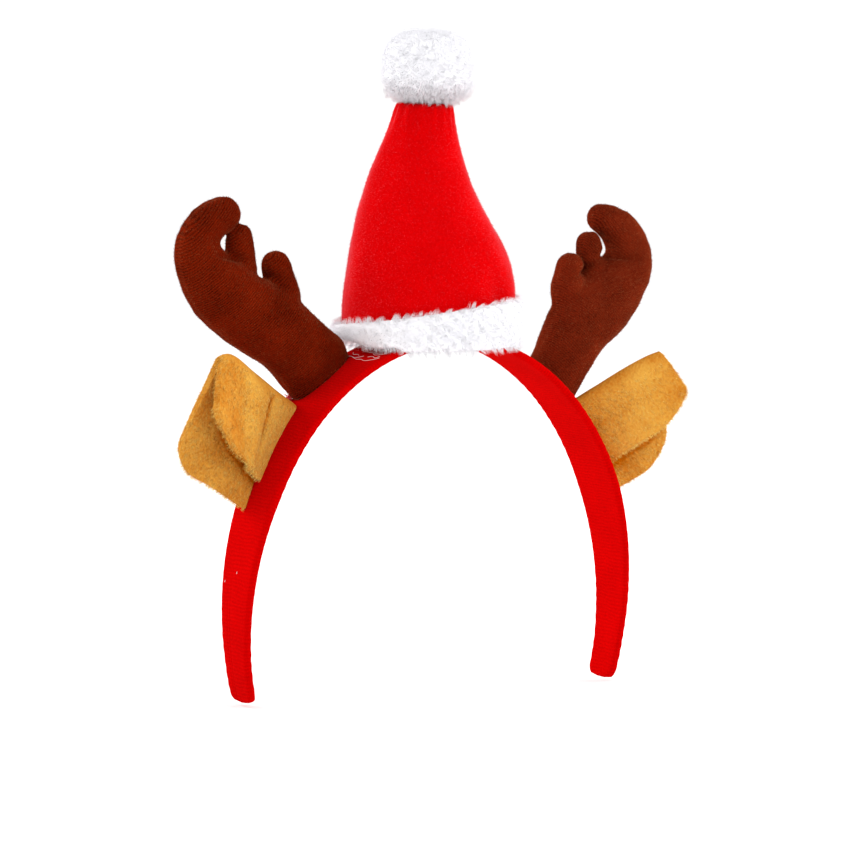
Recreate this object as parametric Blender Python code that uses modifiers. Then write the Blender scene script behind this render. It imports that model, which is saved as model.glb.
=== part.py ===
"""Reindeer antler headband.

A red cloth-covered hair band carries a small stuffed Santa hat with a fur brim and a pom-pom,
two stuffed brown antlers and two folded plush ears. +Z is up, -Y is the front, and left and right
are as seen from the front, so left is -X. The origin is the inner face of the band at its highest
point, where the head's crown sits. Every size in the tables is in millimetres, and MM turns it
into metres.
"""
import math

import bmesh
import bpy
from mathutils import Vector

MM = 0.001
PART_NAME = "reindeer_antler_headband"

# The gap that touching pieces keep
SEAT_GAP = 0.35

# Band: half an ellipse seen from the front, bent from a thin padded strip
BAND_HALF_BREADTH = 80.6
BAND_RISE = 97.3
BAND_THICKNESS = 2.7
BAND_EDGE_ROUNDING = 0.8
BAND_END_ANGLE = 107.9
BAND_STEP_ANGLE = 4.5
# Each tip is square with round corners: its length, how square, and its cross rows
BAND_TIP_LENGTH = 4.2
BAND_TIP_SQUARENESS = 3.2
BAND_TIP_STEPS = (0.35, 0.65, 0.86, 0.97)
BAND_ACROSS = 4
BAND_SHARP_ANGLE = 50.0
# Depth below the highest point, width of the strip there
BAND_WIDTHS = (
    (0.0, 26.0),
    (30.0, 24.6),
    (56.0, 23.4),
    (80.0, 19.4),
    (100.0, 16.2),
    (112.0, 14.2),
    (128.0, 12.8),
)

# Hat: height of a ring, its centre and its radius
HAT_RINGS = (
    (3.0, -0.5, 7.2, 30.6),
    (16.0, -0.4, 7.0, 30.3),
    (26.0, -0.4, 7.0, 29.2),
    (36.4, -1.7, 7.4, 26.3),
    (46.6, -3.4, 8.6, 22.5),
    (56.8, -4.2, 9.2, 18.4),
    (66.2, -4.3, 9.1, 15.1),
    (74.0, -4.0, 8.7, 12.5),
    (80.0, -3.7, 8.6, 10.8),
    (84.0, -3.5, 8.5, 9.8),
)
HAT_SIDES = 40
HAT_ROWS_PER_SPAN = 2
HAT_BASE_BEND_HEIGHT = 20.0
HAT_UNDERSIDE_RINGS = (0.06, 0.36, 0.68)

# Brim: a strip of fur round the foot of the hat, taller towards the front right
BRIM_CENTRE = (-0.5, 7.2)
BRIM_INNER_RADIUS = HAT_RINGS[0][3] + SEAT_GAP
BRIM_THICKNESS = 4.3
BRIM_LOW = -3.4
BRIM_HIGH = 11.4
BRIM_RISE_DIRECTION = math.radians(-33.0)
BRIM_LOW_SLOPE = 0.045
BRIM_HIGH_SLOPE = 0.175
BRIM_SIDES = 84
BRIM_LOCK_ROWS = 7
BRIM_LOCK_DEPTH = 0.8
BRIM_EDGE_DEPTH = 0.35
BRIM_EDGE_SHARE = 0.02
BRIM_ROUNDING = 0.5
BRIM_OVER_BAND_MARGIN = 2.0
# The inner side of the strip, as shares of its depth and of its height
BRIM_INNER_PROFILE = (
    (0.0, 0.12),
    (0.0, 0.50),
    (0.0, 0.90),
)
# The left antler's foot presses the fur in and up beside it
BRIM_PRESS_DIRECTION = math.radians(176.0)
BRIM_PRESS_SPREAD = math.radians(24.0)
BRIM_PRESS_IN = 0.40
BRIM_PRESS_UP = 3.8

# Pom-pom: a flattened ball of fur locks on the point of the hat
POM_CENTRE = (-2.9, 7.9, 98.0)
POM_RADII = (16.4, 16.4, 12.6)
POM_FOOT = 84.35
POM_SUBDIVISIONS = 4
POM_LOCKS = 110
POM_LOCK_LENGTH = 1.5
POM_LOCK_SPREAD = 0.16

# Antlers: each stands in a plane that leans back and turns a little away from the front
ANTLER_FOOT = (45.0, 9.0, -15.0)
ANTLER_TURN = 0.02
ANTLER_LEAN = 0.11
ANTLER_SIDES = 20
ANTLER_TIP_ANGLES = (28.0, 54.0, 76.0)
ANTLER_ROWS_PER_SPAN = 2
# Distance from the middle of the head, height, half width in the plane, half thickness across it
MAIN_TINE_LEFT = (
    (34.6, -19.8, 10.6, 4.6),
    (40.6, -14.2, 11.4, 6.4),
    (46.0, -8.8, 12.2, 9.2),
    (54.4, -1.8, 13.3, 10.2),
    (63.0, 4.8, 14.4, 10.6),
    (73.2, 10.6, 14.2, 10.4),
    (82.6, 17.8, 12.4, 9.8),
    (89.0, 26.2, 10.0, 9.0),
    (90.3, 33.2, 8.0, 8.0),
    (87.2, 40.1, 6.9, 7.0),
    (82.2, 43.8, 5.8, 6.2),
)
SECOND_TINE_LEFT = (
    (70.6, 14.0, 6.2, 6.6),
    (73.9, 24.0, 5.0, 5.8),
    (74.8, 31.0, 4.6, 5.4),
    (75.3, 36.4, 4.1, 4.8),
)
THIRD_TINE_LEFT = (
    (57.4, 8.0, 6.6, 7.0),
    (57.6, 16.6, 5.7, 6.2),
    (58.9, 22.0, 5.2, 5.6),
    (59.7, 26.4, 4.8, 5.0),
)
MAIN_TINE_RIGHT = (
    (46.0, -29.4, 8.6, 4.2),
    (51.6, -20.6, 9.6, 5.6),
    (60.0, -10.0, 11.2, 9.0),
    (65.8, -1.4, 12.0, 10.2),
    (71.2, 5.9, 13.4, 10.6),
    (79.6, 12.9, 13.4, 10.4),
    (88.0, 20.6, 11.3, 9.8),
    (93.4, 28.0, 9.1, 9.0),
    (92.8, 35.4, 7.1, 8.0),
    (88.0, 41.5, 6.1, 7.0),
    (82.0, 44.2, 4.9, 6.0),
)
SECOND_TINE_RIGHT = (
    (78.7, 14.0, 6.4, 6.6),
    (77.2, 24.0, 5.0, 5.8),
    (76.3, 30.5, 4.6, 5.4),
    (76.1, 35.4, 4.2, 4.8),
)
THIRD_TINE_RIGHT = (
    (66.8, 8.0, 7.0, 7.0),
    (64.9, 16.6, 6.0, 6.2),
    (65.0, 22.0, 5.5, 5.6),
    (65.5, 26.4, 4.9, 5.0),
)

# Ears: a plush flap folded over its top edge, a row for each station from the band outwards
EAR_THICKNESS = 2.4
EAR_FOLD_RADIUS = 1.9
EAR_FLAP_STEPS = 4
EAR_FOLD_ANGLES = (0.0, 60.0, 120.0, 180.0)
# Columns: the fold's ridge, the front flap's free edge, the back flap's free edge
EAR_LEFT = (
    ((49.0, 10.6, -27.4), (66.5, 2.8, -52.0), (71.5, 4.6, -61.0)),
    ((60.5, 6.0, -20.8), (75.4, 0.6, -45.6), (79.0, 5.0, -56.6)),
    ((76.6, 1.0, -11.4), (82.0, -4.6, -40.6), (88.5, 5.4, -50.8)),
    ((87.6, -3.6, -5.0), (90.5, -9.8, -33.4), (98.6, 5.2, -45.2)),
    ((93.2, -6.0, -5.2), (98.4, -14.6, -23.0), (103.8, 4.2, -36.4)),
)
EAR_RIGHT = (
    ((53.0, 10.0, -31.4), (67.0, 3.0, -56.6), (70.5, 5.6, -64.0)),
    ((66.3, 6.8, -23.0), (79.0, 1.2, -45.2), (82.0, 5.8, -57.4)),
    ((80.0, 1.6, -14.2), (87.0, -4.6, -38.0), (91.0, 5.8, -53.2)),
    ((89.2, -3.6, -7.6), (94.8, -10.8, -30.8), (99.4, 5.8, -48.4)),
    ((94.4, -7.0, -5.0), (101.6, -15.2, -18.6), (106.8, 5.6, -38.4)),
)

# Reach of the block that trims antlers and ears to the band's outer face
TRIM_HALF_LENGTH = 45.0

SMOOTH_ANGLE = 50.0

# Linear colour, roughness
FINISHES = {
    "headband": ((0.62, 0.003, 0.004), 0.85),
    "hat_cone": ((0.72, 0.003, 0.004), 0.90),
    "hat_brim": ((0.88, 0.86, 0.89), 0.95),
    "pompom": ((0.88, 0.88, 0.90), 0.95),
    "antler_left": ((0.13, 0.010, 0.003), 0.90),
    "antler_right": ((0.13, 0.010, 0.003), 0.90),
    "ear_left": ((0.62, 0.24, 0.025), 0.90),
    "ear_right": ((0.62, 0.24, 0.025), 0.90),
}


def clear_scene():
    for thing in list(bpy.data.objects):
        bpy.data.objects.remove(thing, do_unlink=True)


def new_collection(name, hidden=False):
    group = bpy.data.collections.new(name)
    bpy.context.scene.collection.children.link(group)
    group.hide_render = hidden
    return group


def material(name):
    colour, roughness = FINISHES[name]
    made = bpy.data.materials.new(name)
    made.use_nodes = True
    shader = made.node_tree.nodes["Principled BSDF"]
    shader.inputs["Base Color"].default_value = (*colour, 1.0)
    shader.inputs["Roughness"].default_value = roughness
    shader.inputs["Metallic"].default_value = 0.0
    made.diffuse_color = (*colour, 1.0)
    return made


def table_value(table, key, column=1):
    """Straight interpolation in a table whose first column rises."""
    if key <= table[0][0]:
        return table[0][column]
    for low, high in zip(table, table[1:]):
        if key <= high[0]:
            share = (key - low[0]) / (high[0] - low[0])
            return low[column] + share * (high[column] - low[column])
    return table[-1][column]


def smooth_rows(rows, steps):
    """Points on a Catmull-Rom curve through the rows, steps to a span, any number of columns."""
    padded = [rows[0], *rows, rows[-1]]
    result = []
    for index in range(1, len(padded) - 2):
        before, start, end, after = padded[index - 1:index + 3]
        for step in range(steps):
            share = step / steps
            row = []
            for a, b, c, d in zip(before, start, end, after):
                bend = (2 * a - 5 * b + 4 * c - d) * share ** 2 + (3 * b - a - 3 * c + d) * share ** 3
                row.append(b + 0.5 * ((c - a) * share + bend))
            result.append(tuple(row))
    result.append(tuple(rows[-1]))
    return result


def add_object(name, mesh, group):
    made = bpy.data.objects.new(name, mesh)
    group.objects.link(made)
    return made


def surface(name, rings, group, closed=True, start_cap=False, end_cap=False, joined=False):
    """A mesh of quads between rings of points.

    closed joins the ends of each ring, the caps fill the first and last ring, and joined ties
    the last ring to the first.
    """
    sheet = bmesh.new()
    rows = [[sheet.verts.new(Vector(point) * MM) for point in ring] for ring in rings]
    following_rows = rows[1:] + rows[:1] if joined else rows[1:]
    for row, following in zip(rows, following_rows):
        count = len(row) if closed else len(row) - 1
        for index in range(count):
            beside = (index + 1) % len(row)
            sheet.faces.new((row[index], row[beside], following[beside], following[index]))
    if start_cap:
        sheet.faces.new(list(reversed(rows[0])))
    if end_cap:
        sheet.faces.new(rows[-1])
    bmesh.ops.recalc_face_normals(sheet, faces=sheet.faces)
    mesh = bpy.data.meshes.new(name)
    sheet.to_mesh(mesh)
    sheet.free()
    return add_object(name, mesh, group)


def boolean(target, other, operation):
    cut = target.modifiers.new(operation.lower(), "BOOLEAN")
    cut.operation = operation
    cut.object = other
    cut.solver = "EXACT"
    other.display_type = "WIRE"
    other.hide_render = True


def band_angles():
    """Angles of the band's cross rows, closer together along its rounded tips."""
    tip_angle = math.degrees(BAND_TIP_LENGTH / BAND_HALF_BREADTH)
    plain_end = BAND_END_ANGLE - tip_angle
    count = round(plain_end / BAND_STEP_ANGLE)
    half = [plain_end * index / count for index in range(count + 1)]
    half += [plain_end + tip_angle * share for share in BAND_TIP_STEPS]
    return [-angle for angle in reversed(half[1:])] + half


def band_point(angle, lift):
    """X and Z at an angle along the arch, lifted outwards from its middle surface."""
    turn = math.radians(angle)
    normal = Vector((math.sin(turn) / BAND_HALF_BREADTH, math.cos(turn) / BAND_RISE)).normalized()
    x = BAND_HALF_BREADTH * math.sin(turn) + lift * normal.x
    z = BAND_RISE * (math.cos(turn) - 1.0) + BAND_THICKNESS / 2 + lift * normal.y
    return x, z


def band_top(x):
    """Height of the band's outer face above a point x near the top of the arch."""
    share = x / (BAND_HALF_BREADTH + BAND_THICKNESS / 2)
    height = BAND_RISE + BAND_THICKNESS / 2
    return height * (math.sqrt(1.0 - share * share) - 1.0) + BAND_THICKNESS


def band_width(angle):
    """Width of the strip, with round corners at each tip."""
    depth = BAND_RISE * (1.0 - math.cos(math.radians(angle)))
    width = table_value(BAND_WIDTHS, depth)
    left = math.radians(BAND_END_ANGLE - abs(angle)) * BAND_HALF_BREADTH
    if left < BAND_TIP_LENGTH:
        share = 1.0 - left / BAND_TIP_LENGTH
        width *= (1.0 - share ** BAND_TIP_SQUARENESS) ** (1.0 / BAND_TIP_SQUARENESS)
    return width


def build_headband(group):
    rows = []
    for angle in band_angles():
        x, z = band_point(angle, 0.0)
        width = band_width(angle)
        rows.append([(x, width * (index / BAND_ACROSS - 0.5), z) for index in range(BAND_ACROSS + 1)])
    band = surface("headband", rows, group, closed=False)
    wall = band.modifiers.new("cloth over strip", "SOLIDIFY")
    wall.thickness = BAND_THICKNESS * MM
    wall.offset = 0.0
    edge = band.modifiers.new("rounded edges", "BEVEL")
    edge.width = BAND_EDGE_ROUNDING * MM
    edge.segments = 2
    edge.limit_method = "ANGLE"
    edge.angle_limit = math.radians(BAND_SHARP_ANGLE)
    return band


def build_trim(group):
    """The block under the band's outer face, which trims what is seated on that face."""
    lift = BAND_THICKNESS / 2 + SEAT_GAP
    outline = [band_point(angle, lift) for angle in band_angles()]
    rings = [[(x, y, z) for x, z in outline] for y in (-TRIM_HALF_LENGTH, TRIM_HALF_LENGTH)]
    trim = surface("band_trim", rings, group, start_cap=True, end_cap=True)
    trim.display_type = "WIRE"
    trim.hide_render = True
    return trim


def antler_plane(x, z, side):
    """Point on one antler's middle plane. side is +1 for the right antler and -1 for the left."""
    foot_x, foot_y, foot_z = ANTLER_FOOT
    y = foot_y + ANTLER_TURN * (x - foot_x) + ANTLER_LEAN * (z - foot_z)
    return Vector((side * x, y, z))


def build_tine(name, table, side, group):
    """One stuffed tine: oval rings along a bent middle line, with a round end."""
    rows = smooth_rows(table, ANTLER_ROWS_PER_SPAN)
    centres = [antler_plane(x, z, side) for x, z, width, thick in rows]
    across = Vector((-ANTLER_TURN * side, 1.0, -ANTLER_LEAN)).normalized()
    rings = []
    for index, (x, z, width, thick) in enumerate(rows):
        ahead = centres[min(index + 1, len(rows) - 1)]
        along = (ahead - centres[max(index - 1, 0)]).normalized()
        rings.append((centres[index], along, width, thick))
    centre, along, width, thick = rings[-1]
    for angle in ANTLER_TIP_ANGLES:
        reach = math.sin(math.radians(angle)) * width
        shrink = math.cos(math.radians(angle))
        rings.append((centre + along * reach, along, width * shrink, thick * shrink))
    points = []
    for centre, along, width, thick in rings:
        outward = along.cross(across)
        ring = []
        for index in range(ANTLER_SIDES):
            turn = math.tau * index / ANTLER_SIDES
            ring.append(centre + outward * width * math.cos(turn) + across * thick * math.sin(turn))
        points.append(ring)
    return surface(name, points, group, start_cap=True, end_cap=True)


def build_antler(name, tables, side, group, cutters, trim):
    main = build_tine(name, tables[0], side, group)
    for index, table in enumerate(tables[1:], start=2):
        tine = build_tine(f"{name}_tine_{index}", table, side, cutters)
        boolean(main, tine, "UNION")
    boolean(main, trim, "DIFFERENCE")
    return main


def ear_section(ridge, front, back):
    """Points from the front flap's free edge, over the fold, to the back flap's free edge."""
    ridge, front, back = Vector(ridge), Vector(front), Vector(back)
    down = ((front - ridge).normalized() + (back - ridge).normalized()).normalized()
    backward = Vector((0.0, 1.0, 0.0))
    backward = (backward - down * backward.dot(down)).normalized()
    centre = ridge + down * EAR_FOLD_RADIUS
    front_start = centre - backward * EAR_FOLD_RADIUS
    back_start = centre + backward * EAR_FOLD_RADIUS
    points = [front.lerp(front_start, step / EAR_FLAP_STEPS) for step in range(EAR_FLAP_STEPS)]
    for turn in EAR_FOLD_ANGLES:
        angle = math.radians(turn)
        reach = -backward * math.cos(angle) - down * math.sin(angle)
        points.append(centre + reach * EAR_FOLD_RADIUS)
    points += [back_start.lerp(back, step / EAR_FLAP_STEPS) for step in range(1, EAR_FLAP_STEPS + 1)]
    return points


def build_ear(name, table, side, group, trim):
    rows = [[Vector((side * p.x, p.y, p.z)) for p in ear_section(*row)] for row in table]
    ear = surface(name, rows, group, closed=False)
    soft = ear.modifiers.new("soft sheet", "SUBSURF")
    soft.levels = 1
    soft.render_levels = 1
    wall = ear.modifiers.new("plush", "SOLIDIFY")
    wall.thickness = EAR_THICKNESS * MM
    wall.offset = 0.0
    boolean(ear, trim, "DIFFERENCE")
    return ear


def build_hat_cone(group):
    """Stuffed cone whose foot is bent to the arch of the band."""
    rows = smooth_rows(HAT_RINGS, HAT_ROWS_PER_SPAN)
    rings = []
    for height, centre_x, centre_y, radius in rows:
        bend = max(0.0, 1.0 - (height - rows[0][0]) / HAT_BASE_BEND_HEIGHT)
        ring = []
        for index in range(HAT_SIDES):
            turn = math.tau * index / HAT_SIDES
            x = centre_x + radius * math.cos(turn)
            y = centre_y + radius * math.sin(turn)
            drop = (band_top(x) - BAND_THICKNESS + SEAT_GAP) * bend
            ring.append((x, y, height + drop))
        rings.append(ring)
    foot_height, foot_x, foot_y, foot_radius = HAT_RINGS[0]
    underside = []
    for share in HAT_UNDERSIDE_RINGS:
        ring = []
        for index in range(HAT_SIDES):
            turn = math.tau * index / HAT_SIDES
            x = foot_x + foot_radius * share * math.cos(turn)
            y = foot_y + foot_radius * share * math.sin(turn)
            ring.append((x, y, foot_height + band_top(x) - BAND_THICKNESS + SEAT_GAP))
        underside.append(ring)
    return surface("hat_cone", underside + rings, group, start_cap=True, end_cap=True)


def brim_press(turn):
    """How far the fur is pressed at a direction, from 0 to 1."""
    apart = math.remainder(turn - BRIM_PRESS_DIRECTION, math.tau) / BRIM_PRESS_SPREAD
    return math.exp(-apart * apart)


def brim_edges(x, y):
    """Lower and upper edge of the fur strip at a point of its circle."""
    offset_x, offset_y = x - BRIM_CENTRE[0], y - BRIM_CENTRE[1]
    reach = offset_x * math.cos(BRIM_RISE_DIRECTION) + offset_y * math.sin(BRIM_RISE_DIRECTION)
    low = BRIM_LOW + BRIM_LOW_SLOPE * reach
    high = BRIM_HIGH + BRIM_HIGH_SLOPE * reach
    if abs(y) < BAND_WIDTHS[0][1] / 2 + BRIM_OVER_BAND_MARGIN:
        low = max(low, band_top(x) + SEAT_GAP)
    return low, high


def build_hat_brim(group):
    """Ring of fur locks round the hat's foot, open in the middle."""
    profile = [*BRIM_INNER_PROFILE, (BRIM_EDGE_DEPTH, 1.0 - BRIM_EDGE_SHARE)]
    for row in range(BRIM_LOCK_ROWS):
        share = (row + 0.5) / BRIM_LOCK_ROWS
        profile.append((1.0 - BRIM_ROUNDING * (2.0 * share - 1.0) ** 4, 1.0 - share))
    profile.append((BRIM_EDGE_DEPTH, BRIM_EDGE_SHARE))
    rings = []
    for index in range(BRIM_SIDES):
        turn = math.tau * index / BRIM_SIDES
        press = brim_press(turn)
        ring = []
        for step, (depth, share) in enumerate(profile):
            lock = BRIM_LOCK_DEPTH * (1.0 if (index + step) % 2 else -1.0)
            reach = depth * (BRIM_THICKNESS + lock) * (1.0 - BRIM_PRESS_IN * press)
            x = BRIM_CENTRE[0] + (BRIM_INNER_RADIUS + reach) * math.cos(turn)
            y = BRIM_CENTRE[1] + (BRIM_INNER_RADIUS + reach) * math.sin(turn)
            low, high = brim_edges(x, y)
            low += BRIM_PRESS_UP * press
            ring.append((x, y, low + share * (high - low)))
        rings.append(ring)
    return surface("hat_brim", rings, group, joined=True)


def even_directions(count):
    """Directions spread evenly over a sphere along a golden spiral."""
    golden = math.pi * (3.0 - math.sqrt(5.0))
    directions = []
    for index in range(count):
        height = 1.0 - 2.0 * (index + 0.5) / count
        level = math.sqrt(1.0 - height * height)
        angle = golden * index
        directions.append(Vector((level * math.cos(angle), level * math.sin(angle), height)))
    return directions


def build_pompom(group):
    """Ball of short fur locks, flat where it sits on the hat."""
    ball = bmesh.new()
    bmesh.ops.create_icosphere(ball, subdivisions=POM_SUBDIVISIONS, radius=1.0)
    tips = even_directions(POM_LOCKS)
    for vertex in ball.verts:
        direction = vertex.co.normalized()
        nearest = min(math.acos(min(1.0, direction.dot(tip))) for tip in tips)
        lock = POM_LOCK_LENGTH * max(0.0, 1.0 - nearest / POM_LOCK_SPREAD)
        place = [centre + (radius + lock) * part
                 for centre, radius, part in zip(POM_CENTRE, POM_RADII, direction)]
        place[2] = max(place[2], POM_FOOT)
        vertex.co = Vector(place) * MM
    mesh = bpy.data.meshes.new("pompom")
    ball.to_mesh(mesh)
    ball.free()
    return add_object("pompom", mesh, group)


def finish(thing):
    thing.data.materials.append(material(thing.name))
    thing.data.shade_smooth()
    thing.data.set_sharp_from_angle(angle=math.radians(SMOOTH_ANGLE))


def main():
    clear_scene()
    group = new_collection(PART_NAME)
    cutters = new_collection("cutters", hidden=True)
    trim = build_trim(cutters)
    left_tines = (MAIN_TINE_LEFT, SECOND_TINE_LEFT, THIRD_TINE_LEFT)
    right_tines = (MAIN_TINE_RIGHT, SECOND_TINE_RIGHT, THIRD_TINE_RIGHT)
    pieces = [
        build_headband(group),
        build_hat_cone(group),
        build_hat_brim(group),
        build_pompom(group),
        build_antler("antler_left", left_tines, -1.0, group, cutters, trim),
        build_antler("antler_right", right_tines, 1.0, group, cutters, trim),
        build_ear("ear_left", EAR_LEFT, -1.0, group, trim),
        build_ear("ear_right", EAR_RIGHT, 1.0, group, trim),
    ]
    for piece in pieces:
        finish(piece)


main()
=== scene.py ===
# %% [markdown]
# # A reindeer antler headband
#
# This lesson dresses a finished model of a costume hair band. The band carries a small stuffed
# Santa hat with a fur brim and a pom-pom, two stuffed brown antlers and two folded plush ears.
# The solid model gives the exact place and size of every part. It is loaded first and never
# changed. Each soft part is then made again around it, with the folds, ribs and hairs that cloth
# has.

# %% Load the model
import math

import bmesh
import bpy
import numpy as np
from mathutils import Matrix, Vector, noise


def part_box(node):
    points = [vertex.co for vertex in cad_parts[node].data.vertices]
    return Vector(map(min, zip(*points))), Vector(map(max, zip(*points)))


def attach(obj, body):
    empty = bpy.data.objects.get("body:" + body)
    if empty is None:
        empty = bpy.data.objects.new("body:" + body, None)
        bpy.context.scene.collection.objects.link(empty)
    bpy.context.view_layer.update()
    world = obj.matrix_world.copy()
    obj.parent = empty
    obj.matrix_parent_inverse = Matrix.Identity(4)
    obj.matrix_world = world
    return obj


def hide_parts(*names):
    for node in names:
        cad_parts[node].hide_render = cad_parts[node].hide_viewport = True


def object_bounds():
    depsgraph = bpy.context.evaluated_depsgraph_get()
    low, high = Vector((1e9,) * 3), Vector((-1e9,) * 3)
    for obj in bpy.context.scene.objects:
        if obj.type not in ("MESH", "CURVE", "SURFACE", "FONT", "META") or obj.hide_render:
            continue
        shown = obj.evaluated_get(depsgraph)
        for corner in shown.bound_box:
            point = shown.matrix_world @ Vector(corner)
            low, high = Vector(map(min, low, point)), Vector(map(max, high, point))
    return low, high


MM = 0.001
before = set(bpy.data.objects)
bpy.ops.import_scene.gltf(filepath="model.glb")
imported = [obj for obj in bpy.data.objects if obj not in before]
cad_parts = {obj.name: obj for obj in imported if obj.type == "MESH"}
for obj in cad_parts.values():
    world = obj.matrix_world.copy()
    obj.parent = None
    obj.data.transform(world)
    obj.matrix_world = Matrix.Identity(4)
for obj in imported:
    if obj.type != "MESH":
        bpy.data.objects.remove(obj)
cad_low, cad_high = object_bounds()
print("parts of the model:", ", ".join(sorted(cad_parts)))

# %% [markdown]
# ## The camera
#
# The picture was taken from in front and from the wearer's right, a little above the level of the
# band, with a long lens. A long lens is a narrow one, so the camera stands 1.3 m away and both
# legs of the band keep nearly the same size. The camera is also turned slightly round its own
# line of sight.

# %% Place the camera
CAMERA_AZIMUTH = math.radians(-33.0)
CAMERA_ELEVATION = math.radians(4.8)
CAMERA_ROLL = math.radians(1.74)
CAMERA_DISTANCE = 1.3
PICTURE_SIDE = 845
FOCAL_PIXELS = 3627.0
SENSOR_WIDTH = 36.0
# The band's highest point, in the model and in the picture
TOP_OF_BAND = Vector((0.0, 0.0, 1.35 * MM))
TOP_IN_PICTURE = (438.84, 337.28)


def camera_axes():
    """Right, up and forward of the camera."""
    flat = math.cos(CAMERA_ELEVATION)
    back = Vector((math.sin(CAMERA_AZIMUTH) * flat, -math.cos(CAMERA_AZIMUTH) * flat,
                   math.sin(CAMERA_ELEVATION)))
    level = Vector((math.cos(CAMERA_AZIMUTH), math.sin(CAMERA_AZIMUTH), 0.0))
    rise = level.cross(-back)
    right = level * math.cos(CAMERA_ROLL) + rise * math.sin(CAMERA_ROLL)
    up = rise * math.cos(CAMERA_ROLL) - level * math.sin(CAMERA_ROLL)
    return right, up, -back


right, up, forward = camera_axes()
middle = PICTURE_SIDE / 2
side_step = (TOP_IN_PICTURE[0] - middle) * CAMERA_DISTANCE / FOCAL_PIXELS
up_step = (middle - TOP_IN_PICTURE[1]) * CAMERA_DISTANCE / FOCAL_PIXELS
camera = bpy.data.objects.new("camera", bpy.data.cameras.new("camera"))
camera.data.lens = FOCAL_PIXELS * SENSOR_WIDTH / PICTURE_SIDE
camera.data.sensor_width = SENSOR_WIDTH
place = TOP_OF_BAND - (right * side_step + up * up_step + forward * CAMERA_DISTANCE)
turn = Matrix((right, up, -forward)).transposed().to_4x4()
camera.matrix_world = Matrix.Translation(place) @ turn
camera.data.clip_start = 0.05
camera.data.clip_end = 20.0
bpy.context.scene.collection.objects.link(camera)
bpy.context.scene.camera = camera
print(f"camera {place.length:.3f} m from the band, lens {camera.data.lens:.1f} mm")

# %% [markdown]
# ## Helpers for meshes
#
# Every piece ends as an object at the origin with its place in its mesh, riding on the model's
# one body. These helpers turn a bmesh into such an object, and read or move its points.

# %% Mesh helpers
def points_of(mesh):
    """The points of a mesh as an array."""
    values = np.empty(len(mesh.vertices) * 3, np.float32)
    mesh.vertices.foreach_get("co", values)
    return values.reshape(-1, 3).astype(float)


def normals_of(mesh):
    """The normals of a mesh's points as an array."""
    values = np.empty(len(mesh.vertices) * 3, np.float32)
    mesh.vertices.foreach_get("normal", values)
    return values.reshape(-1, 3).astype(float)


def move_points(mesh, points):
    mesh.vertices.foreach_set("co", points.astype(np.float32).ravel())
    mesh.update()


def new_piece(name, mesh, material, node=None):
    """An object for a finished mesh, which rides on the model and may stand for one node."""
    piece = bpy.data.objects.new(name, mesh)
    bpy.context.scene.collection.objects.link(piece)
    mesh.materials.clear()
    mesh.materials.append(material)
    mesh.shade_smooth()
    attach(piece, "root")
    if node:
        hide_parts(node)
    return piece


def to_mesh(form, name):
    """A bmesh made into a mesh, with its faces pointing out."""
    bmesh.ops.recalc_face_normals(form, faces=form.faces)
    mesh = bpy.data.meshes.new(name)
    form.to_mesh(mesh)
    form.free()
    return mesh


def modified(mesh, kind, **settings):
    """A new mesh: the given one after a modifier."""
    holder = bpy.data.objects.new("holder", mesh)
    bpy.context.scene.collection.objects.link(holder)
    change = holder.modifiers.new("change", kind)
    for key, value in settings.items():
        setattr(change, key, value)
    shown = holder.evaluated_get(bpy.context.evaluated_depsgraph_get())
    made = bpy.data.meshes.new_from_object(shown)
    bpy.data.objects.remove(holder)
    bpy.data.meshes.remove(mesh)
    return made


def blend_between(low, high, value):
    """0 below low, 1 above high, and a smooth rise between."""
    share = np.clip((value - low) / (high - low), 0.0, 1.0)
    return share * share * (3.0 - 2.0 * share)


def bump_at(distance, spread):
    """A round hill of height 1 at distance 0."""
    return np.exp(-(distance / spread) ** 2)


def wander(points, scale, seed):
    """Smooth noise from -1 to 1 at each point, scale in lumps a metre."""
    shift = Vector((seed * 7.3, seed * 1.7, seed * 3.1))
    return np.array([noise.noise(Vector(point) * scale + shift) for point in points])


# %% [markdown]
# ## Materials
#
# All the cloths here have a pile: short hairs that stand up and catch light at the rim. Blender's
# sheen gives that rim. Under it a fine noise in the piece's own coordinates gives the grain, in
# colour and in bump, so that nothing is one flat colour.

# %% Material helper
def part_of(material, kind, **inputs):
    """A new node in a material, with some of its inputs set."""
    made = material.node_tree.nodes.new(kind)
    for name, value in inputs.items():
        made.inputs[name.replace("_", " ")].default_value = value
    return made


def wire(material, start, output, end, entry):
    material.node_tree.links.new(start.outputs[output], end.inputs[entry])


def maths(material, operation, first, second=None):
    """A Math node fed by a socket or a number on each side."""
    made = material.node_tree.nodes.new("ShaderNodeMath")
    made.operation = operation
    for entry, value in enumerate((first, second)):
        if isinstance(value, (int, float)):
            made.inputs[entry].default_value = value
        elif value is not None:
            material.node_tree.links.new(value, made.inputs[entry])
    return made.outputs[0]


def grain(material, coordinates, size_mm, detail=2.0):
    """Noise whose lumps are about size_mm across."""
    made = part_of(material, "ShaderNodeTexNoise", Scale=1.0 / (size_mm * MM), Detail=detail)
    wire(material, coordinates, "Object", made, "Vector")
    return made.outputs["Fac"]


# Size of the bends in a cloth's ribs
SWERVE_MM = 9.0
# Where the colour ramp starts and ends, and how much each noise adds to the place on it
RAMP_START, RAMP_END = 0.25, 0.95
FINE_SHARE, BROAD_SHARE = 0.75, 0.45
PILE_ROUGHNESS = 0.85


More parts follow.
